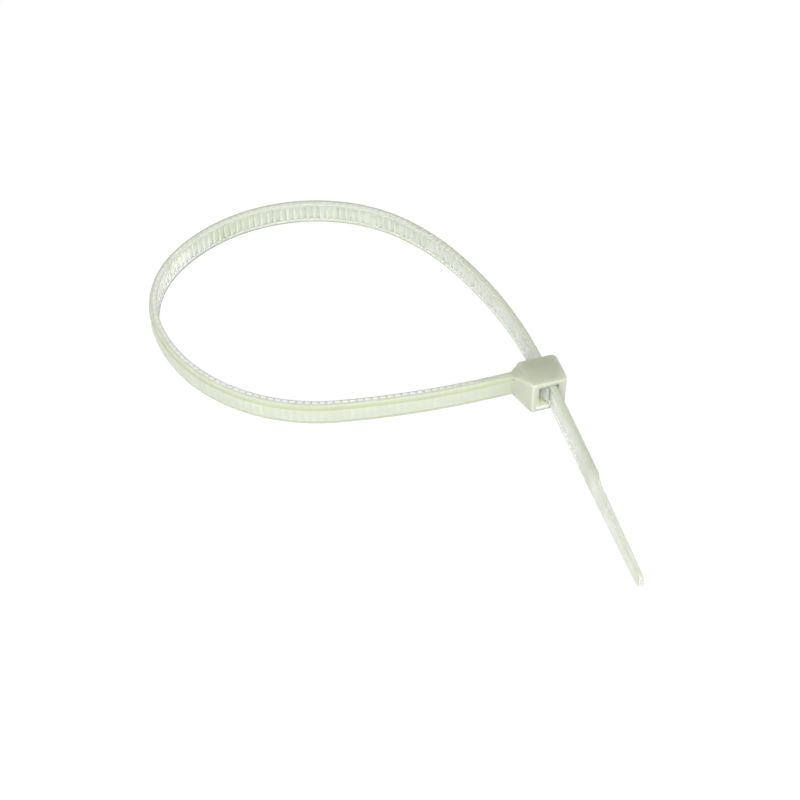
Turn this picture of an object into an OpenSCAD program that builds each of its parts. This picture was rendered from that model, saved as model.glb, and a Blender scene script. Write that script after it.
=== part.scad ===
// One-piece nylon cable tie, closed into a loose loop, with its tail drawn through the head.
// Strap, tooth ladder, locking head and pawl are one moulding.
// Millimetres, +Z up. The tie lies on its edge, as on a bench, and the origin is under the
// middle of its box. The far side of the loop and one corner of the head touch the bench.

/* [Tie] */
// Length of the flat tie from the nose of the head to the tip of the tail
tie_l = 197; // [190:0.5:215]
// Turn of the head from the X axis as the tie lies
head_turn = 16.75; // [-45:0.25:45]

/* [Strap] */
// Width of the strap
strap_w = 3.6; // [3.2:0.05:4.2]
// Thickness of the strap
strap_t = 1.2; // [1.1:0.05:1.5]
// Width of the bevel along each edge of the outer face
bevel_w = 0.64; // [0.3:0.02:1]
// Depth of that bevel
bevel_d = 0.25; // [0.1:0.05:0.4]
// Width of each side rail on the toothed face
rail_w = 0.5; // [0.35:0.05:0.7]

/* [Tooth ladder] */
// Depth of the ladder's floor below the rails
ladder_d = 0.5; // [0.35:0.05:0.65]
// Distance from tooth to tooth
tooth_pitch = 1.05; // [0.9:0.05:1.3]
// Height of a tooth above the floor
tooth_h = 0.4; // [0.25:0.05:0.5]
// Length of the flat crest of a tooth
tooth_crest = 0.15; // [0.05:0.05:0.3]
// Length of open floor between two teeth
tooth_gap = 0.16; // [0.08:0.02:0.3]

/* [Loop] */
// Plain straight strap between the neck and the first bend
root_run = 3.2; // [1:0.1:8]
// Straight strap ahead of the mouth of the slot
approach_run = 0.9; // [0.3:0.1:4]
// Turn of the long shallow bend along the near side
near_turn = 10.8; // [8:0.1:13]
// Radius of the near left corner
corner_r = 25.6; // [23:0.1:28]
// Turn of the near left corner
corner_turn = 76; // [72:0.1:80]
// Radius of the tight bend at the left end
end_r = 17.4; // [16:0.1:20]
// Turn of the tight bend at the left end
end_turn = 51; // [47:0.1:55]
// Radius of the wide bend over the back
back_r = 23.9; // [22:0.1:26]
// Turn of the wide bend over the back
back_turn = 96.8; // [93:0.1:101]
// Radius of the easing bend on the right
shoulder_r = 38.3; // [34:0.1:44]
// Turn of the easing bend on the right
shoulder_turn = 15.1; // [12:0.1:18]

/* [Head] */
// Length of the neck, in which the strap widens into the head
neck_l = 1.4; // [1:0.1:2.5]
// Length of the head's block from the neck to the nose
head_l = 5.45; // [5.2:0.05:6.5]
// Height of the head along the slot
head_h = 5.15; // [4.6:0.05:6]
// Width of the head across the strap
head_w = 5.2; // [4.9:0.05:6]
// Rise of the head's mouth above the toothed face of the root
mouth_rise = 0.75; // [0.4:0.05:1]
// Slant of the gusset under the neck, from the neck to the exit face
gusset_lean = 1.7; // [1.5:0.05:1.9]
// Radius between the strap and the gusset
gusset_r = 1.2; // [0.5:0.1:2]
// Radius of the nose's corners
nose_r = 0.85; // [0.4:0.05:1.2]
// Radius of the head's long edges
edge_r = 0.3; // [0.1:0.05:0.5]

/* [Slot and pawl] */
// Thickness of the wall between the slot and the nose
nose_wall = 1.4; // [1.2:0.05:1.6]
// Play between the strap and each wall of the slot
slot_play = 0.12; // [0.06:0.02:0.2]
// Depth of the flare at the slot's mouth
flare_d = 0.6; // [0.3:0.05:0.9]
// Width of the flare at the slot's mouth
flare_w = 0.25; // [0.1:0.05:0.4]
// Depth of the lead-in beside the slot, from the mouth down to the pawl
lead_d = 1.7; // [1.5:0.05:1.9]
// Width of the lead-in beside the slot
lead_w = 0.95; // [0.7:0.05:1.1]
// Width of the pawl's recess beside the slot, open at the exit face
recess_w = 1.45; // [1.3:0.05:1.6]
// Width of the pawl
pawl_w = 2.3; // [1.9:0.05:2.4]
// Thickness of the pawl behind its teeth, at its tip
pawl_tip_t = 0.3; // [0.2:0.05:0.4]
// Lean of the pawl's back, from its tip to its root on the recess's wall
pawl_lean = 30; // [26:1:34]
// Distance of the pawl's tip from the exit face
tip_inset = 0.25; // [0.1:0.05:0.5]
// Gap between the pawl's teeth and the ladder
mesh_play = 0.05; // [0.03:0.01:0.07]

/* [Tail] */
// Length of the smooth tail after the last tooth
smooth_l = 22; // [18:0.5:28]
// Full thickness kept after the last tooth
step_run = 3; // [1:0.25:5]
// Length over which the tail thins
step_l = 3.5; // [2:0.25:5]
// Thickness of the thin tail
tail_t = 0.65; // [0.45:0.05:0.8]
// Width of the tail at its tip
tip_w = 2.1; // [1.6:0.1:3]
// Radius of the tail's slight bend after the head
set_r = 300; // [200:10:500]
// Turn of that slight bend
set_turn = 1.2; // [0.8:0.1:2]

/* [Hidden] */
$fn = 96;
NYLON = [0.88, 0.9, 0.83];

// Amount by which one shape reaches into another that it is joined to
lap = 0.05;
// Every other stretch of the strap is this much larger all round, so that it closes round the
// ends of its neighbours, which run into it by run_on
hair = 0.004;
run_on = 0.04;
function more_of(stretch) = stretch % 2 == 0 ? 0 : hair;
// Amount by which a cut runs past a face
past = 1;
// Flats in the round of one corner of the head
corner_steps = 6;

// Half sizes and levels: the strap's lower edge is at zero height before the tie is laid down
half_t = strap_t / 2;
overhang = (head_w - strap_w) / 2;
floor_y = -half_t + ladder_d;

// The head: X runs from the neck to the nose, and the slot runs along Y
nose_x = neck_l + head_l;
entry_y = half_t + mouth_rise;
exit_y = entry_y - head_h;
slot_x = nose_x - nose_wall - slot_play - half_t;
rail_x = slot_x - half_t;

// The loop: it leaves the neck along -X, turns clockwise and comes back along -Y.
// Two radii are worked out so that the loop always closes into the slot.
total_turn = 270;
descent_turn = total_turn - near_turn - corner_turn - end_turn - back_turn - shoulder_turn;
turns = [near_turn, corner_turn, end_turn, back_turn, shoulder_turn, descent_turn];
near_arc = 0;
end_arc = 2;
last_arc = len(turns) - 1;

function total(list, count) = count <= 0 ? 0 : list[count - 1] + total(list, count - 1);
function course(i) = 180 - total(turns, i);
function chord(from, turn) = [sin(from) - sin(from - turn), cos(from - turn) - cos(from)];
function along(a) = [cos(a), sin(a)];
function left_of(a) = [-sin(a), cos(a)];

chords = [for (i = [0:last_arc]) chord(course(i), turns[i])];
start = [-root_run, 0];
goal = [slot_x, entry_y + approach_run];
chosen = corner_r * chords[1] + end_r * chords[2] + back_r * chords[3] + shoulder_r * chords[4];
rest = goal - start - chosen;
first = chords[near_arc];
last = chords[last_arc];
cross = first.x * last.y - first.y * last.x;
near_r = (rest.x * last.y - rest.y * last.x) / cross;
descent_r = (first.x * rest.y - first.y * rest.x) / cross;
radii = [near_r, corner_r, end_r, back_r, shoulder_r, descent_r];
lengths = [for (i = [0:last_arc]) radii[i] * turns[i] * PI / 180];

function arc_start(i) = i == 0 ? start : arc_start(i - 1) + radii[i - 1] * chords[i - 1];
function arc_centre(i) = arc_start(i) - radii[i] * left_of(course(i));

// Stations along the strap, measured from the neck
loop_end = root_run + total(lengths, last_arc + 1);
exit_station = loop_end + goal.y - exit_y;
set_l = set_r * set_turn * PI / 180;
set_end = exit_station + set_l;
strap_l = tie_l - nose_x;
teeth_end = strap_l - smooth_l;
set_start = [slot_x, exit_y];
set_course = course(last_arc + 1) - set_turn;
set_finish = set_start + set_r * chord(course(last_arc + 1), set_turn);
tail_start = set_finish + (teeth_end - set_end) * along(set_course);
tip = tail_start + smooth_l * along(set_course);

// Teeth of the ladder
first_tooth = root_run + tooth_pitch;
tooth_count = floor((teeth_end - first_tooth) / tooth_pitch);

// Point and course of the strap at a station
function arc_of(s, i = 0) = s <= root_run + total(lengths, i + 1) || i == last_arc ? i : arc_of(s, i + 1);
function on_arc(i, s) =
    let (a = course(i) - (s - root_run - total(lengths, i)) / radii[i] * 180 / PI)
    [arc_centre(i) + radii[i] * left_of(a), a];
function on_slot(s) = [[slot_x, goal.y - (s - loop_end)], course(last_arc + 1)];
function on_set(s) =
    let (a = course(last_arc + 1) - (s - exit_station) / set_r * 180 / PI)
    [set_start - set_r * left_of(course(last_arc + 1)) + set_r * left_of(a), a];
function on_tail(s) = [set_finish + (s - set_end) * along(set_course), set_course];
function station(s) =
    s <= loop_end ? on_arc(arc_of(s), s) :
    s <= exit_station ? on_slot(s) :
    s <= set_end ? on_set(s) : on_tail(s);

// How the tie lies: it leans from a corner of the head on to the far side of the loop
foot = [neck_l, entry_y - edge_r];
lean_course = -39.5;
far_side = end_arc + 1;
lean_span = (foot - arc_centre(end_arc)) * along(lean_course) + end_r + half_t - bevel_d;
lean = atan((overhang - more_of(far_side)) / lean_span);

// Where a point of the tie, given in the head's frame, is once the tie leans
function laid(p, z) =
    let (
        away = along(lean_course),
        across = left_of(lean_course),
        d = (p - foot) * away * cos(lean) - (z + overhang) * sin(lean)
    )
    foot + d * away + ((p - foot) * across) * across;
function turned(p) = [p.x * cos(head_turn) - p.y * sin(head_turn), p.x * sin(head_turn) + p.y * cos(head_turn)];

// The box on the bench, from the ends of the loop and the tip of the tail
brim_z = strap_w - bevel_w;
left_x = turned(laid(arc_centre(end_arc), brim_z)).x - end_r - half_t - more_of(far_side);
back_y = turned(laid(arc_centre(end_arc + 1), brim_z)).y + back_r + half_t + more_of(far_side + 1);
right_x = turned(laid(tip + (tail_t - half_t) * left_of(set_course), strap_w / 2)).x;
front_y = turned(laid(tip - half_t * left_of(set_course), strap_w / 2)).y;
middle = [(left_x + right_x) / 2, (back_y + front_y) / 2];

// Section of the strap: X is towards the outer face, and Y is across the width
module strap_section() {
    polygon([
        [-half_t, 0],
        [half_t - bevel_d, 0],
        [half_t, bevel_w],
        [half_t, strap_w - bevel_w],
        [half_t - bevel_d, strap_w],
        [-half_t, strap_w]
    ]);
}

// The same section with the ladder's channel between the two rails, larger all round by more
module ladder_section(more) {
    polygon([
        [-half_t - more, -more],
        [half_t - bevel_d + more, -more],
        [half_t + more, bevel_w - more],
        [half_t + more, strap_w - bevel_w + more],
        [half_t - bevel_d + more, strap_w + more],
        [-half_t - more, strap_w + more],
        [-half_t - more, strap_w - rail_w - more],
        [floor_y - more, strap_w - rail_w - more],
        [floor_y - more, rail_w + more],
        [-half_t - more, rail_w + more]
    ]);
}

// A straight stretch of the section given as a child
module straight(from, heading, length) {
    translate([from.x, from.y, 0])
        rotate([90, 0, heading + 90])
            translate([0, 0, -run_on]) linear_extrude(length + 2 * run_on) children();
}

// A bend of the section given as a child, turning clockwise
module bend(centre, radius, heading, turn) {
    run_on_turn = run_on / radius * 180 / PI;
    translate([centre.x, centre.y, 0])
        rotate([0, 0, heading + 90 - turn - run_on_turn])
            rotate_extrude(angle = turn + 2 * run_on_turn, $fn = 360) translate([radius, 0]) children();
}

// The band with its channel, from the neck to just past the last tooth
module band() {
    slot_course = course(last_arc + 1);
    straight([lap, 0], 180, root_run + lap) ladder_section(more_of(0));
    for (i = [0:last_arc])
        bend(arc_centre(i), radii[i], course(i), turns[i]) ladder_section(more_of(i + 1));
    straight(goal, slot_course, goal.y - exit_y) ladder_section(more_of(last_arc + 2));
    bend(set_start - set_r * left_of(slot_course), set_r, slot_course, set_turn)
        ladder_section(more_of(last_arc + 3));
    straight(set_finish, set_course, teeth_end - set_end + step_run / 2)
        ladder_section(more_of(last_arc + 4));
}

// The plain root: the channel is full from the neck to the first bend
module plain_root() {
    translate([-root_run, -floor_y - lap, rail_w - lap])
        cube([root_run + lap, floor_y + half_t + lap, strap_w - 2 * rail_w + 2 * lap]);
}

// One tooth: a steep face towards the root, a flat crest and a ramp towards the tail
module tooth() {
    translate([0, 0, rail_w - lap])
        linear_extrude(strap_w - 2 * rail_w + 2 * lap)
            polygon([
                [0, floor_y + lap],
                [0, floor_y - tooth_h],
                [tooth_crest, floor_y - tooth_h],
                [tooth_pitch - tooth_gap, floor_y],
                [tooth_pitch - tooth_gap, floor_y + lap]
            ]);
}

// The ladder of teeth, at one pitch all along the strap
module ladder() {
    for (k = [0:tooth_count - 1]) {
        at = station(first_tooth + k * tooth_pitch);
        translate([at[0].x, at[0].y, 0]) rotate([0, 0, at[1]]) tooth();
    }
}

// The smooth tail: it keeps the strap's section, then thins on its outer side and narrows
module tail() {
    translate([tail_start.x, tail_start.y, 0])
        rotate([0, 0, set_course])
            intersection() {
                straight([0, 0], 0, smooth_l) strap_section();
                linear_extrude(strap_w)
                    polygon([
                        [0, -half_t],
                        [0, half_t],
                        [step_run, half_t],
                        [step_run + step_l, tail_t - half_t],
                        [smooth_l, tail_t - half_t],
                        [smooth_l, -half_t]
                    ]);
                translate([0, half_t + past, strap_w / 2])
                    rotate([90, 0, 0])
                        linear_extrude(strap_t + 2 * past) tail_outline();
            }
}

// Outline of the tail across its width, round at the tip
module tail_outline() {
    polygon([
        [0, -strap_w / 2],
        [step_run, -strap_w / 2],
        [smooth_l - tip_w / 2, -tip_w / 2],
        [smooth_l - tip_w / 2, tip_w / 2],
        [step_run, strap_w / 2],
        [0, strap_w / 2]
    ]);
    translate([smooth_l - tip_w / 2, 0]) circle(d = tip_w);
}

// Points of the round that replaces the corner b between a and c
function unit(v) = v / norm(v);
function corner(a, b, c, r) =
    let (
        u = unit(a - b),
        v = unit(c - b),
        half = acos(u * v) / 2,
        centre = b + unit(u + v) * r / sin(half),
        from = b + u * r / tan(half) - centre,
        to = b + v * r / tan(half) - centre,
        first_a = atan2(from.y, from.x),
        sweep_a = atan2(from.x * to.y - from.y * to.x, from * to)
    )
    [for (i = [0:corner_steps]) centre + r * along(first_a + sweep_a * i / corner_steps)];

// Side outline of the head, in which the slot runs along Y
module head_side() {
    root = [-past, -half_t];
    bend_in = [0, -half_t];
    heel = [gusset_lean, exit_y];
    toe = [nose_x, exit_y];
    brow = [nose_x, entry_y];
    lip = [neck_l, entry_y];
    polygon(concat(
        [[-past, half_t - lap], [-past, -half_t + lap]],
        [for (p = corner(root, bend_in, heel, gusset_r)) if (p.y < -half_t - hair) p],
        corner(bend_in, heel, toe, edge_r),
        corner(heel, toe, brow, nose_r),
        corner(toe, brow, lip, nose_r),
        corner(brow, lip, [0, half_t], edge_r),
        [[0, half_t], [0, half_t - lap]]
    ));
}

// Top outline of the head: the neck widens from the strap's width to the head's, and the round
// under the neck starts between the strap's bevels
module head_top() {
    polygon([
        [-past, bevel_w],
        [0, bevel_w],
        [0, 0],
        [neck_l, -overhang],
        [nose_x, -overhang],
        [nose_x, strap_w + overhang],
        [neck_l, strap_w + overhang],
        [0, strap_w],
        [0, strap_w - bevel_w],
        [-past, strap_w - bevel_w]
    ]);
}

// End outline of the head with its four long edges rounded
module head_end() {
    a = [exit_y - past, -overhang];
    b = [entry_y, -overhang];
    c = [entry_y, strap_w + overhang];
    d = [exit_y - past, strap_w + overhang];
    polygon(concat([a], corner(a, b, c, edge_r), corner(b, c, d, edge_r), [d]));
}

// The solid block of the head, with its neck and gusset
module head_block() {
    intersection() {
        translate([0, 0, -overhang]) linear_extrude(head_w) head_side();
        translate([0, entry_y, 0]) rotate([90, 0, 0]) linear_extrude(head_h) head_top();
        translate([-past, 0, 0]) rotate([90, 0, 90]) linear_extrude(nose_x + past) head_end();
    }
}

// The passage for the strap, with a flare at its mouth. Beside it, the lead-in runs from the mouth
// to the top of the pawl, and the recess behind the pawl runs on to the exit face.
module passage() {
    slot_t = strap_t + 2 * slot_play;
    translate([slot_x - slot_t / 2, exit_y - past, -slot_play])
        cube([slot_t, head_h + 2 * past, strap_w + 2 * slot_play]);
    translate([slot_x, 0, -slot_play])
        linear_extrude(strap_w + 2 * slot_play)
            polygon([
                [-slot_t / 2, entry_y - flare_d],
                [slot_t / 2, entry_y - flare_d],
                [slot_t / 2 + flare_w, entry_y + lap],
                [-slot_t / 2 - flare_w, entry_y + lap]
            ]);
    translate([lead_x, pawl_top_y - lap, -slot_play])
        cube([slot_x - lead_x, lead_d + past, strap_w + 2 * slot_play]);
    translate([recess_x, exit_y - past, -slot_play])
        cube([slot_x - recess_x, pawl_top_y - exit_y + past, strap_w + 2 * slot_play]);
}

// The pawl is rooted on the recess's wall and leans out to the strap, and its teeth lie in the
// ladder's gaps
pawl_face_x = rail_x + ladder_d - tooth_h - mesh_play;
pawl_crest_x = rail_x + ladder_d - mesh_play;
pawl_top_y = entry_y - lead_d;
pawl_tip_y = exit_y + tip_inset;
pawl_tip_x = pawl_face_x - pawl_tip_t;
lead_x = rail_x - slot_play - lead_w;
recess_x = rail_x - slot_play - recess_w;
root_x = recess_x - lap;
root_y = pawl_tip_y + (pawl_tip_x - root_x) / tan(pawl_lean);
function y_at(s) = goal.y - (s - loop_end);
function station_at(y) = loop_end + goal.y - y;
pawl_first = ceil((station_at(pawl_top_y) - first_tooth) / tooth_pitch);
pawl_last = floor((station_at(pawl_tip_y) - first_tooth) / tooth_pitch) - 1;

// Outline of the toothed side of the pawl in one gap of the ladder
function pawl_tooth(k) =
    let (
        near_y = y_at(first_tooth + k * tooth_pitch + tooth_crest),
        far_y = y_at(first_tooth + (k + 1) * tooth_pitch - mesh_play)
    )
    [
        [pawl_face_x, near_y],
        [pawl_crest_x, far_y + tooth_crest / 2],
        [pawl_crest_x, far_y],
        [pawl_face_x, far_y]
    ];

module pawl() {
    translate([0, 0, (strap_w - pawl_w) / 2])
        linear_extrude(pawl_w)
            polygon(concat(
                [
                    [root_x, root_y],
                    [root_x, pawl_top_y + lap],
                    [lead_x - lap, pawl_top_y + lap],
                    [lead_x - lap, pawl_top_y],
                    [pawl_face_x, pawl_top_y]
                ],
                [for (k = [pawl_first:pawl_last]) each pawl_tooth(k)],
                [
                    [pawl_face_x, pawl_tip_y],
                    [pawl_tip_x, pawl_tip_y]
                ]
            ));
}

module head() {
    difference() {
        head_block();
        passage();
    }
    pawl();
}

// Lays the tie on the bench and puts the origin under the middle of its box
module lay_down() {
    translate([-middle.x, -middle.y, overhang])
        rotate([0, 0, head_turn])
            translate([foot.x, foot.y, -overhang])
                rotate(a = lean, v = [sin(lean_course), -cos(lean_course), 0])
                    translate([-foot.x, -foot.y, overhang])
                        children();
}

module cable_tie() {
    color(NYLON)
        lay_down() {
            head();
            plain_root();
            band();
            ladder();
            tail();
        }
}

cable_tie();
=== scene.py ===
import math
import bmesh
import bpy
import numpy as np
from mathutils import Matrix, Vector, kdtree


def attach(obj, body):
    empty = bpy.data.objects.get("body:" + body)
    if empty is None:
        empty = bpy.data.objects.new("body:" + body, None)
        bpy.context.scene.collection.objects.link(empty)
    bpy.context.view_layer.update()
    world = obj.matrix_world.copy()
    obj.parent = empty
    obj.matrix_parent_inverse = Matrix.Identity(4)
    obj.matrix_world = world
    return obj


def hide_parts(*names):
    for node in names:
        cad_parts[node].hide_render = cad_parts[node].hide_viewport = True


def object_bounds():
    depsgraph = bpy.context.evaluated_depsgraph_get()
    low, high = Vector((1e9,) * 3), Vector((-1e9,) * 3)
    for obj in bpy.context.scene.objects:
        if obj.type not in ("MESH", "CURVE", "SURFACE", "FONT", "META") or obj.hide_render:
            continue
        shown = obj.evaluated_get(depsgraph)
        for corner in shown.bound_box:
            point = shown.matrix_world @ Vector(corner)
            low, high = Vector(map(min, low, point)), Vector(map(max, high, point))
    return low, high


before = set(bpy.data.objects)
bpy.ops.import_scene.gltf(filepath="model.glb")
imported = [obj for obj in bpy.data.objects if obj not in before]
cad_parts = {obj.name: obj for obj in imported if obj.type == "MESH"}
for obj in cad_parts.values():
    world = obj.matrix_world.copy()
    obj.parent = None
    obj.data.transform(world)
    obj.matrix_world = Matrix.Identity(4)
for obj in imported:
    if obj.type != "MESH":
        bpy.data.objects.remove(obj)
cad_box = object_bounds()

# The lie of the tie. It was drawn through its own head into a loose loop, and lies on its edge:
# it leans from a corner of the head on to the far side of the loop. Sizes are in millimetres in
# the head's frame: X from the neck to the nose, the slot along Y, the strap's width along Z.
strap_width = 3.6
strap_thickness = 1.2
head_width = 5.2
head_turn = math.radians(16.75)
neck_length = 1.4
nose_x = 6.85
mouth_y = 1.35
exit_y = -3.8
slot_x = 4.73
overhang = (head_width - strap_width) / 2
half = strap_thickness / 2


def heading(degrees):
    """A unit step along a course, as a complex number."""
    return np.exp(1j * math.radians(degrees))


# The bends of the loop, all clockwise: turn in degrees and radius. The first and the last radius
# are worked out, so that the loop closes into the slot.
root_run, mouth_run = 3.2, 0.9
loop_start = -root_run + 0j
loop_goal = slot_x + 1j * (mouth_y + mouth_run)
end_radius = 17.4
bends = [[10.8, None], [76, 25.6], [51, end_radius], [96.8, 23.9], [15.1, 38.3], [20.3, None]]
course = 180
chords = []
for turn, radius in bends:
    chords.append(1j * (heading(course - turn) - heading(course)))
    course -= turn
known_bends = sum(radius * chord for (turn, radius), chord in zip(bends, chords) if radius)
left_over = loop_goal - loop_start - known_bends
near, last = chords[0], chords[-1]
bends[0][1], bends[-1][1] = np.linalg.solve(
    [[near.real, last.real], [near.imag, last.imag]], [left_over.real, left_over.imag]
)

# The strap's course as stretches: length and turn, from the neck to the tip of the tail
tie_length = 197
smooth_length = 22
set_radius, set_turn = 300, 1.2
stretches = [[root_run, 0]] + [[math.radians(turn) * radius, turn] for turn, radius in bends]
stretches += [[loop_goal.imag - exit_y, 0], [math.radians(set_turn) * set_radius, set_turn]]
strap_length = tie_length - nose_x
teeth_end = strap_length - smooth_length
stretches += [[strap_length - sum(length for length, turn in stretches), 0]]


def place(station):
    """Where the strap's middle line is at a station, and its course there in degrees."""
    at, course = 0j, 180
    for length, turn in stretches:
        part = min(max(station, 0), length)
        if turn:
            radius = length / math.radians(turn)
            now = turn * part / length
            at += radius * 1j * (heading(course - now) - heading(course))
            course -= now
        else:
            at += heading(course) * (part if length < station else station)
        station -= length
        if station <= 0:
            break
    return at, course


# The moulded strap. Natural nylon, one shot with the head: a plain root, then a channel with a
# ladder of ratchet teeth between two rails, then a smooth tail that is thin, narrows and ends
# in a round tip. Its outer face has a bevel along each edge.
bevel_width, bevel_depth = 0.64, 0.25
rail_width = 0.5
channel_depth = 0.5
pitch = 1.05
tooth_height = 0.4
crest_length = 0.15
gap_length = 0.16
steep_run = 0.02
first_tooth = root_run + pitch
tooth_count = int((teeth_end - first_tooth) / pitch)
tail_thickness = 0.65
tip_width = 2.1
step_start, step_length = 3.0, 3.5
edge_round, bevel_round, rail_round, tooth_round = 0.1, 0.1, 0.1, 0.04
side_share, least_side = 0.45, 1e-9
least_bevel, least_half_width = 0.05, 0.02
shoulder_share, rail_share, fade_share = 0.5, 0.4, 0.3
root_sunk, root_steps, tail_steps = 0.8, 14, 60
merge_distance = 0.0005

# The tones of the strap say how deep the nylon looks, with painted light and shade added: low in
# the dashes between the teeth, a painted light where light comes through, and high along the
# bevels, a painted shade. A painted shade runs along each rim, and the side and inner faces carry
# painted light and shade that changes along the strap. A run is where it starts and ends, and how
# softly. A rim run has its tone first, and is of the upper and then of the lower side.
fade, dash_soft, rim_soft = 0.15, 0.08, 0.04
root_tone, root_fade, root_share = 0.8, 5, 0.5
bevel_painted_shade, rim_painted_shade, dash_painted_light, least_tone = 2.0, 0.9, 0.2, 0.7
# A touch of painted light on the inner face at the steep faces of the teeth
steep_face_light_share = 0.98
tip_tone, tip_fade = 0.5, 1.5
# Along the strap, the inner face's share and the side face's tone are painted light and shade, set
# lighter or darker by how the faces meet the lamps
tone_stations = (0, 44, 52, 68, 84, 112, 126, 150, 167, 176)
inner_painted_light_shares = (0.9, 0.9, 0.35, 0.35, 0.9, 0.9, 0.75, 0.55, 0.55, 1.0)
side_painted_light_tones = (-0.25, -0.25, -0.3, -0.3, -0.3, -0.3, 0, 0.05, 0.05, 0.2)
dash_reach, rim_width = 0.58, 0.14
dash_run = (3, 54, 12)
# The rim runs are a painted shade along the rails' rounded edges, stronger on the lower side
rim_shade_runs = ((1.5, 1, 62, 8), (4.75, 45, 130, 15))


def within(station, start, end, soft):
    """How far a station lies inside a stretch: 0 outside it, 1 once its soft ends are past."""
    return min(max(min(station - start, end - station) / soft, 0), 1)


def near_root(station):
    """1 at the head, and less and less along the strap."""
    return math.exp(-max(station, 0) / root_fade)


def rounded(corners):
    """A closed outline of corners, each with its radius and tone, as points with their tone."""
    ring = []
    for i, (corner, radius, tone) in enumerate(corners):
        if radius == 0:
            ring.append((corner, tone))
            continue
        sides = []
        for other in (corners[i - 1][0], corners[(i + 1) % len(corners)][0]):
            side = other - corner
            sides.append(side * min(radius / max(abs(side), least_side), side_share))
        ring += [(corner + step, tone) for step in (sides[0], sum(sides) / 4, sides[1])]
    return ring


def strap_ring(station, width, crown, depth, share):
    """Section of the strap, with a tone at each point: how much nylon lies behind it, with painted
    light and shade added. Of a point, real is towards the outer face, imaginary is across the
    width."""
    edge = width / 2
    brim = min(half - bevel_depth, crown - least_bevel)
    inset = max(bevel_width * (crown - half + bevel_depth) / bevel_depth, least_bevel)
    shoulder = max(edge - inset, shoulder_share * edge)
    rail = max(edge - rail_width, rail_share * edge)
    body = max(crown + half - depth / 2, least_tone)
    # The bevels get a painted shade, with less of it near the head
    bevel = body + bevel_painted_shade * (1 - root_share * near_root(station))
    # The side face's tone changes along the strap, a painted light and shade
    plain = body + np.interp(station, tone_stations, side_painted_light_tones)
    # The dashes between the teeth get a painted light, where light comes through
    seen = within(station, *dash_run) if depth > channel_depth / 2 else 0
    dash = plain + seen * (dash_painted_light - plain)
    # The inner face's tone changes along the strap, a painted light and shade
    inner = share * body * np.interp(station, tone_stations, inner_painted_light_shares)
    sides = []
    # Each rim gets a painted shade, the upper side and then the lower side
    for rim_shade, *rim_run in rim_shade_runs:
        rim = plain + rim_painted_shade + within(station, *rim_run) * (rim_shade - plain - rim_painted_shade)
        sides.append([
            (complex(crown, max(shoulder - fade, fade_share * edge)), 0, body),
            (complex(crown, shoulder), bevel_round, bevel),
            (complex(brim, edge), edge_round, (bevel + plain) / 2),
            (complex(dash_reach - half, edge), 0, plain),
            (complex(dash_reach - half - dash_soft, edge), 0, dash),
            (complex(rim_width + rim_soft - half, edge), 0, dash),
            (complex(rim_width - half, edge), 0, rim),
            (complex(-half, edge), rail_round, rim),
            (complex(-half, rail), tooth_round, inner),
            (complex(-half + depth, rail), tooth_round, inner),
        ])
    lower_side = [(point.conjugate(), radius, tone) for point, radius, tone in reversed(sides[1])]
    return rounded(sides[0] + lower_side)


# Stations along the strap, each with its width, the level of its outer face, the channel's depth
# and the share of its inner tone, which is a touch of painted light at the steep faces of the teeth
root_stations = np.linspace(-root_sunk, first_tooth - pitch, root_steps)
rings = [(station, strap_width, half, 0, 1) for station in root_stations]
crest = channel_depth - tooth_height
for tooth in range(tooth_count):
    start = first_tooth + tooth * pitch
    middle = start + (pitch - gap_length + crest_length) / 2
    rings += [
        (start - gap_length, strap_width, half, channel_depth, 1),
        (start, strap_width, half, channel_depth, steep_face_light_share),
        (start + steep_run, strap_width, half, crest, steep_face_light_share),
        (start + crest_length, strap_width, half, crest, 1),
        (middle, strap_width, half, channel_depth - tooth_height / 2, 1),
    ]
ladder_end = first_tooth + tooth_count * pitch
rings += [
    (ladder_end - gap_length, strap_width, half, channel_depth, 1),
    (teeth_end - steep_run, strap_width, half, channel_depth, 1),
]
round_start = smooth_length - tip_width / 2
for run in np.linspace(0, smooth_length, tail_steps):
    thin = min(max((run - step_start) / step_length, 0), 1)
    thin = thin * thin * (3 - 2 * thin)
    narrow = min(max((run - step_start) / (round_start - step_start), 0), 1)
    width = strap_width + (tip_width - strap_width) * narrow
    past_round = max(run - round_start, 0)
    width = 2 * math.sqrt(max((width / 2) ** 2 - past_round ** 2, least_half_width ** 2))
    rings.append((teeth_end + run, width, half + (tail_thickness - strap_thickness) * thin, 0, 1))

strap = bmesh.new()
# Each point's tone: the nylon's depth, with painted light and shade added
depth_of_nylon = strap.verts.layers.float.new("depth_of_nylon")
loops = []
for station, *section in rings:
    at, way = place(station)
    outwards = 1j * heading(way)
    from_root = root_tone * near_root(station)
    from_tip = tip_tone * math.exp((station - strap_length) / tip_fade)
    loop = []
    for point, tone in strap_ring(station, *section):
        spot = at + outwards * point.real
        vert = strap.verts.new((spot.real, spot.imag, strap_width / 2 + point.imag))
        vert[depth_of_nylon] = tone + from_root + from_tip
        loop.append(vert)
    loops.append(loop)
count = len(loops[0])
for this, following in zip(loops, loops[1:]):
    for i in range(count):
        j = (i + 1) % count
        strap.faces.new((this[i], this[j], following[j], following[i]))
strap.faces.new(loops[0][::-1])
strap.faces.new(loops[-1])
bmesh.ops.remove_doubles(strap, verts=strap.verts, dist=merge_distance)
bmesh.ops.recalc_face_normals(strap, faces=strap.faces)
tie_mesh = bpy.data.meshes.new("moulded_tie")
strap.to_mesh(tie_mesh)
strap.free()
tie = bpy.data.objects.new("moulded_tie", tie_mesh)
bpy.context.collection.objects.link(tie)

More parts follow.
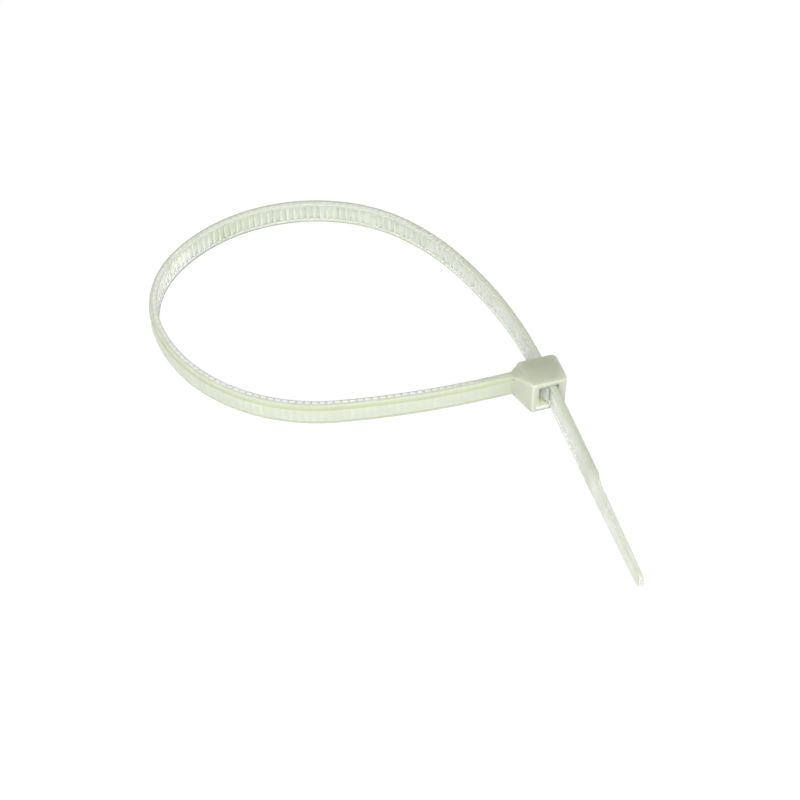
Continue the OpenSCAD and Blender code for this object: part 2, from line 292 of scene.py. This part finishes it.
# The locking head. A block with a neck that widens out of the strap and a gusset under it. The
# strap's slot runs through it. Beside the slot, the pawl is rooted on the wall of its recess and
# leans out to the strap, with its teeth in the ladder's gaps.
nose_round, neck_round, heel_round = 0.85, 0.5, 0.3
waist_round, cheek_round = 1.0, 0.3
edge_bevel, edge_bevel_steps, bevelled_from = 0.22, 3, math.radians(40)
neck_sunk, neck_inset = 1, 0.03
gusset_lean, gusset_round = 1.7, 1.2
slot_play = 0.12
lead_depth, lead_width = 1.7, 0.95
recess_width = 1.45
pawl_width, pawl_tip_thickness, pawl_lean = 2.3, 0.3, math.radians(30)
tip_inset = 0.25
mesh_play = 0.05
flare_depth, flare_width = 0.6, 0.25
beyond, lead_overlap, pawl_sunk = 1, 0.02, 0.05
head_tone, tone_fall, exit_fall = 3.8, 0.3, 0.8
# Painted light: the bore, the exit face below the slot and the pawl are set pale against the
# recess's shade
bore_painted_light, exit_rim_painted_light, pawl_painted_light = -0.3, 0.1, 0.95
exit_skin, touch = 0.05, 0.01


def solid(name, outline, low, high, turned):
    """A prism on an outline, whose axes and depth are set by turned."""
    shape = bmesh.new()
    ends = [[shape.verts.new(turned(x, y, level)) for x, y in outline] for level in (low, high)]
    shape.faces.new(ends[0][::-1])
    shape.faces.new(ends[1])
    for i in range(len(outline)):
        j = (i + 1) % len(outline)
        shape.faces.new((ends[0][i], ends[0][j], ends[1][j], ends[1][i]))
    bmesh.ops.recalc_face_normals(shape, faces=shape.faces)
    mesh = bpy.data.meshes.new(name)
    shape.to_mesh(mesh)
    shape.free()
    made = bpy.data.objects.new(name, mesh)
    bpy.context.collection.objects.link(made)
    return made


def side_view(x, y, level):
    """Turns an outline that is seen across the width of the strap."""
    return (x, y, level)


def top_view(x, z, level):
    """Turns an outline that is seen along the slot."""
    return (x, level, z)


def worked(body, kind, **settings):
    """Puts one modifier on a body and keeps its result as the body's mesh."""
    step = body.modifiers.new(kind.lower(), kind)
    for name, value in settings.items():
        setattr(step, name, value)
    now = bpy.context.evaluated_depsgraph_get()
    mesh = bpy.data.meshes.new_from_object(body.evaluated_get(now))
    body.modifiers.clear()
    body.data = mesh


def joined(body, tool, operation):
    """Adds a tool to a body, cuts it out, or keeps what they share, and uses the tool up."""
    worked(body, "BOOLEAN", operation=operation, object=tool, solver="EXACT")
    bpy.data.objects.remove(tool)


def eased(points, radii, steps=8):
    """An outline with each corner rounded to its own radius."""
    outline = []
    for i, (corner, radius) in enumerate(zip(points, radii)):
        corner = Vector(corner)
        back = (Vector(points[i - 1]) - corner).normalized()
        on = (Vector(points[(i + 1) % len(points)]) - corner).normalized()
        if radius == 0:
            outline.append(tuple(corner))
            continue
        half_angle = back.angle(on) / 2
        centre = corner + (back + on).normalized() * radius / math.sin(half_angle)
        start = corner + back * radius / math.tan(half_angle) - centre
        end = corner + on * radius / math.tan(half_angle) - centre
        for step in range(steps + 1):
            spoke = start.normalized().slerp(end.normalized(), step / steps)
            outline.append(tuple(centre + radius * spoke))
    return outline


head_side = eased(
    [
        (0, half), (-neck_sunk, half - neck_inset), (-neck_sunk, neck_inset - half), (0, -half),
        (gusset_lean, exit_y), (nose_x, exit_y), (nose_x, mouth_y), (neck_length, mouth_y),
    ],
    [neck_round, 0, 0, gusset_round, heel_round, nose_round, nose_round, neck_round],
)
head_top = eased(
    [
        (-neck_sunk, bevel_width), (-neck_sunk, strap_width - bevel_width),
        (0, strap_width - bevel_width), (0, strap_width),
        (neck_length, strap_width + overhang), (nose_x, strap_width + overhang),
        (nose_x, -overhang), (neck_length, -overhang), (0, 0), (0, bevel_width),
    ],
    [0, 0, 0, 0, waist_round, cheek_round, cheek_round, waist_round, 0, 0],
)
head = solid("head", head_side, -overhang, strap_width + overhang, side_view)
joined(head, solid("plan", head_top, exit_y - beyond, mouth_y + beyond, top_view), "INTERSECT")
worked(
    head, "BEVEL", width=edge_bevel, segments=edge_bevel_steps,
    limit_method="ANGLE", angle_limit=bevelled_from,
)

slot_half = half + slot_play
rail_x = slot_x - half
pawl_face = rail_x + channel_depth - tooth_height - mesh_play
pawl_crest = rail_x + channel_depth - mesh_play
pawl_top = mouth_y - lead_depth
pawl_tip = exit_y + tip_inset
lead_x = slot_x - slot_half - lead_width
recess_x = slot_x - slot_half - recess_width
passage = [
    (slot_x - slot_half, exit_y - beyond),
    (slot_x + slot_half, exit_y - beyond),
    (slot_x + slot_half, mouth_y - flare_depth),
    (slot_x + slot_half + flare_width, mouth_y),
    (slot_x + slot_half + flare_width, mouth_y + beyond),
    (slot_x - slot_half, mouth_y + beyond),
]
lead_in = [
    (lead_x, pawl_top - lead_overlap),
    (slot_x, pawl_top - lead_overlap),
    (slot_x, mouth_y + beyond),
    (lead_x, mouth_y + beyond),
]
recess = [
    (recess_x, exit_y - beyond),
    (slot_x, exit_y - beyond),
    (slot_x, pawl_top),
    (recess_x, pawl_top),
]
for name, outline in (("slot", passage), ("lead_in", lead_in), ("recess", recess)):
    cutter = solid(name, outline, -slot_play, strap_width + slot_play, side_view)
    joined(head, cutter, "DIFFERENCE")

loop_end = sum(length for length, turn in stretches[:1 + len(bends)])


def slot_level(station):
    """How high a station of the strap stands in the slot."""
    return loop_goal.imag - (station - loop_end)


gaps = [first_tooth + k * pitch for k in range(tooth_count)]
gaps = [start for start in gaps if pawl_tip + pitch <= slot_level(start) <= pawl_top]
root_x = recess_x - pawl_sunk
root_y = pawl_tip + (pawl_face - pawl_tip_thickness - root_x) / math.tan(pawl_lean)
pawl_side = [
    (root_x, root_y), (root_x, pawl_top + pawl_sunk), (lead_x - pawl_sunk, pawl_top + pawl_sunk),
    (lead_x - pawl_sunk, pawl_top), (pawl_face, pawl_top),
]
for start in gaps:
    near_level = slot_level(start + crest_length)
    far_level = slot_level(start + pitch - mesh_play)
    pawl_side += [
        (pawl_face, near_level), (pawl_crest, far_level + crest_length / 2),
        (pawl_crest, far_level), (pawl_face, far_level),
    ]
pawl_side += [(pawl_face, pawl_tip), (pawl_face - pawl_tip_thickness, pawl_tip)]
pawl_low = (strap_width - pawl_width) / 2
joined(head, solid("pawl", pawl_side, pawl_low, pawl_low + pawl_width, side_view), "UNION")

# The head's tones: deep in the middle of the block. Inside the bore, on the pawl and on the exit
# face below the slot they are set pale, a painted light against the recess's shade; the pawl's tone
# also stands for its thin nylon. They join the tones of the strap, and the whole moulding takes
# over the tone of the nearest point.
head_middle = Vector(((neck_length + nose_x) / 2, (mouth_y + exit_y) / 2, strap_width / 2))
strap_tones = tie.data.attributes["depth_of_nylon"].data
known = [(vert.co.copy(), value.value) for vert, value in zip(tie.data.vertices, strap_tones)]
for vert in head.data.vertices:
    to_exit = (mouth_y - vert.co.y) / (mouth_y - exit_y)
    tone = head_tone - tone_fall * (vert.co - head_middle).length - exit_fall * to_exit
    off_middle = abs(vert.co.z - strap_width / 2)
    in_length = recess_x - touch < vert.co.x < slot_x + slot_half + touch
    # Painted light inside the bore and on the pawl, and on the exit face below the slot
    if in_length and off_middle < strap_width / 2 + slot_play + touch:
        if vert.co.y > exit_y + exit_skin:
            tone = pawl_painted_light if off_middle < pawl_width / 2 + touch else bore_painted_light
        elif vert.co.z < strap_width / 2:
            tone = exit_rim_painted_light
    known.append((vert.co.copy(), tone))
nearest = kdtree.KDTree(len(known))
for index, (spot, value) in enumerate(known):
    nearest.insert(spot, index)
nearest.balance()
joined(tie, head, "UNION")
depths = tie.data.attributes.get("depth_of_nylon")
if not depths:
    depths = tie.data.attributes.new("depth_of_nylon", "FLOAT", "POINT")
tones = [known[nearest.find(vert.co)[1]][1] for vert in tie.data.vertices]
depths.data.foreach_set("value", tones)

# The tie is laid down: leant over the corner of its head, turned, and set on the bench where the
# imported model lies
foot_inset = 0.3
leant_on_bend = 2
millimetre = 0.001
crease = math.radians(32)
foot = Vector((neck_length, mouth_y - foot_inset, -overhang))
lean_course = math.radians(-39.5)
far_point, far_course = place(sum(length for length, turn in stretches[:1 + leant_on_bend]))
far_at = far_point - end_radius * 1j * heading(far_course)
away = complex(math.cos(lean_course), math.sin(lean_course))
span = ((complex(foot.x, foot.y) - far_at) * away.conjugate()).real
span += end_radius + half - bevel_depth
lean = math.atan(overhang / span)
laid = (
    Matrix.Rotation(head_turn, 4, "Z")
    @ Matrix.Translation(foot)
    @ Matrix.Rotation(lean, 4, Vector((away.imag, -away.real, 0)))
    @ Matrix.Translation(-foot)
)
tie.data.transform(Matrix.Scale(millimetre, 4) @ laid)
spots = np.array([vert.co for vert in tie.data.vertices])
low, high = spots.min(axis=0), spots.max(axis=0)
cad_low, cad_high = (np.array(corner) for corner in cad_box)
settle = [*((cad_low + cad_high - low - high) / 2)[:2], cad_low[2] - low[2]]
tie.data.transform(Matrix.Translation(settle))
tie.data.shade_smooth()
tie.data.set_sharp_from_angle(angle=crease)
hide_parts("cable_tie")
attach(tie, "root")

# Natural nylon, moulded and undyed. It is milky and lets light through, so it looks whiter where
# it is thin and deepens to a yellow green where it is thick, and its skin has a soft moulded gloss.
nylon = bpy.data.materials.new("natural_nylon")
nylon.use_nodes = True
nylon.node_tree.nodes.clear()


class Shade:
    """One output of a node in a material's tree, for use in Python expressions."""

    def __init__(self, socket):
        self.socket = socket

    @staticmethod
    def node(tree, kind, settings=None, inputs=None, output=0):
        made = tree.nodes.new(kind)
        for name, value in (settings or {}).items():
            if name == "stops":
                while len(made.color_ramp.elements) < len(value):
                    made.color_ramp.elements.new(0.5)
                for element, (position, colour) in zip(made.color_ramp.elements, value):
                    element.position = position
                    element.color = (*colour, 1)
            else:
                setattr(made, name, value)
        for name, value in (inputs or {}).items():
            if isinstance(value, Shade):
                tree.links.new(value.socket, made.inputs[name])
            else:
                made.inputs[name].default_value = value
        return Shade(made.outputs[output]) if made.outputs else made

    def math(self, operation, first, second):
        settings, inputs = {"operation": operation}, {0: first, 1: second}
        return Shade.node(self.socket.id_data, "ShaderNodeMath", settings, inputs)

    def __add__(self, other):
        return self.math("ADD", self, other)

    def __radd__(self, other):
        return self.math("ADD", other, self)

    def __sub__(self, other):
        return self.math("SUBTRACT", self, other)

    def __rsub__(self, other):
        return self.math("SUBTRACT", other, self)

    def __mul__(self, other):
        return self.math("MULTIPLY", self, other)

    def __rmul__(self, other):
        return self.math("MULTIPLY", other, self)


def linear(red, green, blue):
    """A colour given as 0 to 255 on screen, as the renderer counts it."""
    return tuple(((c / 255 + 0.055) / 1.055) ** 2.4 for c in (red, green, blue))


ramp_per_tone, cloud_middle, cloud_share = 0.2, 0.5, 0.1
plain_roughness, cloud_roughness = 0.34, 0.12
tree = nylon.node_tree
position = Shade.node(tree, "ShaderNodeTexCoord", output="Object")
# The tone read here is the nylon's depth with painted light and shade added; the ramp turns it into
# colour
painted_light_and_depth = Shade.node(
    tree, "ShaderNodeAttribute", {"attribute_name": "depth_of_nylon"}, output="Fac"
)
cloud = Shade.node(
    tree, "ShaderNodeTexNoise", inputs={"Vector": position, "Scale": 420.0, "Detail": 3.0}
)
flow = Shade.node(
    tree, "ShaderNodeTexNoise", inputs={"Vector": position, "Scale": 1900.0, "Detail": 2.0}
)
body = painted_light_and_depth * ramp_per_tone + (cloud - cloud_middle) * cloud_share
colour = Shade.node(
    tree,
    "ShaderNodeValToRGB",
    {
        "stops": [
            (0.0, linear(246, 254, 208)),
            (0.05, linear(253, 254, 240)),
            (0.13, linear(217, 221, 213)),
            (0.2, linear(198, 203, 190)),
            (0.45, linear(188, 193, 175)),
            (0.72, linear(171, 180, 141)),
            (0.95, linear(148, 149, 144)),
        ]
    },
    {0: body},
)
grain = Shade.node(
    tree, "ShaderNodeBump", inputs={"Strength": 0.08, "Distance": 0.00002, "Height": flow}
)
skin = Shade.node(
    tree,
    "ShaderNodeBsdfPrincipled",
    inputs={
        "Base Color": colour,
        "Roughness": plain_roughness + cloud_roughness * cloud,
        "IOR": 1.53,
        "Subsurface Weight": 1.0,
        "Subsurface Radius": (1.0, 1.0, 0.75),
        "Subsurface Scale": 0.002,
        "Normal": grain,
    },
)
Shade.node(tree, "ShaderNodeOutputMaterial", inputs={"Surface": skin})
tie.data.materials.clear()
tie.data.materials.append(nylon)

# The bench top, a wide flat sheet of white card. It glows a little to the eye alone, so that it
# looks white, and it keeps the tie's shadow.
reach = 3.0
glow_share = 0.88
corners = [(-reach, -reach, 0), (reach, -reach, 0), (reach, reach, 0), (-reach, reach, 0)]
bench_mesh = bpy.data.meshes.new("bench_top")
bench_mesh.from_pydata(corners, [], [(0, 1, 2, 3)])
bench = bpy.data.objects.new("bench_top", bench_mesh)
bpy.context.collection.objects.link(bench)
white = bpy.data.materials.new("white_sheet")
white.use_nodes = True
white.node_tree.nodes.clear()
sheet = white.node_tree
seen = Shade.node(sheet, "ShaderNodeLightPath", output="Is Camera Ray")
mirrored = Shade.node(sheet, "ShaderNodeLightPath", output="Is Glossy Ray")
through = Shade.node(sheet, "ShaderNodeLightPath", output="Is Transmission Ray")
paper = Shade.node(sheet, "ShaderNodeBsdfDiffuse", inputs={"Color": (0.93, 0.93, 0.93, 1)})
glow = Shade.node(sheet, "ShaderNodeEmission", inputs={"Color": (1, 1, 1, 1), "Strength": 1.05})
glowing = (seen + mirrored + through) * glow_share
mixed = Shade.node(sheet, "ShaderNodeMixShader", inputs={0: glowing, 1: paper, 2: glow})
Shade.node(sheet, "ShaderNodeOutputMaterial", inputs={"Surface": mixed})
bench_mesh.materials.append(white)

# The light: a pale room all round, a soft lamp low at either side, and a stronger one over the
# front, near the camera, which reaches into the head. Each is a square panel turned to the tie.
world = bpy.data.worlds.new("pale_room")
bpy.context.scene.world = world
world.use_nodes = True
world.node_tree.nodes.clear()
room_tree = world.node_tree
seen = Shade.node(room_tree, "ShaderNodeLightPath", output="Is Camera Ray")
room = Shade.node(
    room_tree, "ShaderNodeBackground", inputs={"Color": (1, 1, 1, 1), "Strength": 0.33}
)
backdrop = Shade.node(
    room_tree, "ShaderNodeBackground", inputs={"Color": (1, 1, 1, 1), "Strength": 1.0}
)
mixed = Shade.node(room_tree, "ShaderNodeMixShader", inputs={0: seen, 1: room, 2: backdrop})
Shade.node(room_tree, "ShaderNodeOutputWorld", inputs={"Surface": mixed})
for name, spot, power, width in (
    ("left_lamp", (-0.58, -0.48, 0.24), 1.1, 0.5),
    ("right_lamp", (0.6, -0.4, 0.24), 1.2, 0.5),
    ("fill_lamp", (0.0, -0.62, 0.66), 7.1, 0.35),
):
    lamp = bpy.data.lights.new(name, "AREA")
    lamp.energy = power
    lamp.size = width
    stand = bpy.data.objects.new(name, lamp)
    stand.location = spot
    stand.rotation_euler = (-Vector(spot)).to_track_quat("-Z", "Y").to_euler()
    bpy.context.collection.objects.link(stand)

# The camera looks down on the tie from the front, as in the photograph
target = Vector((0.003194, -0.004673, 0.00241))
elevation = math.radians(47.02)
distance = 0.22275
photo_width = 800
focal_pixels = 1600
lens = bpy.data.cameras.new("camera")
lens.sensor_width = 36
lens.lens = lens.sensor_width * focal_pixels / photo_width
lens.clip_start = 0.01
camera = bpy.data.objects.new("camera", lens)
camera.location = target + distance * Vector((0, -math.cos(elevation), math.sin(elevation)))
camera.rotation_euler = (math.pi / 2 - elevation, 0, 0)
bpy.context.collection.objects.link(camera)
bpy.context.scene.camera = camera
bpy.context.scene.view_settings.view_transform = "Standard"
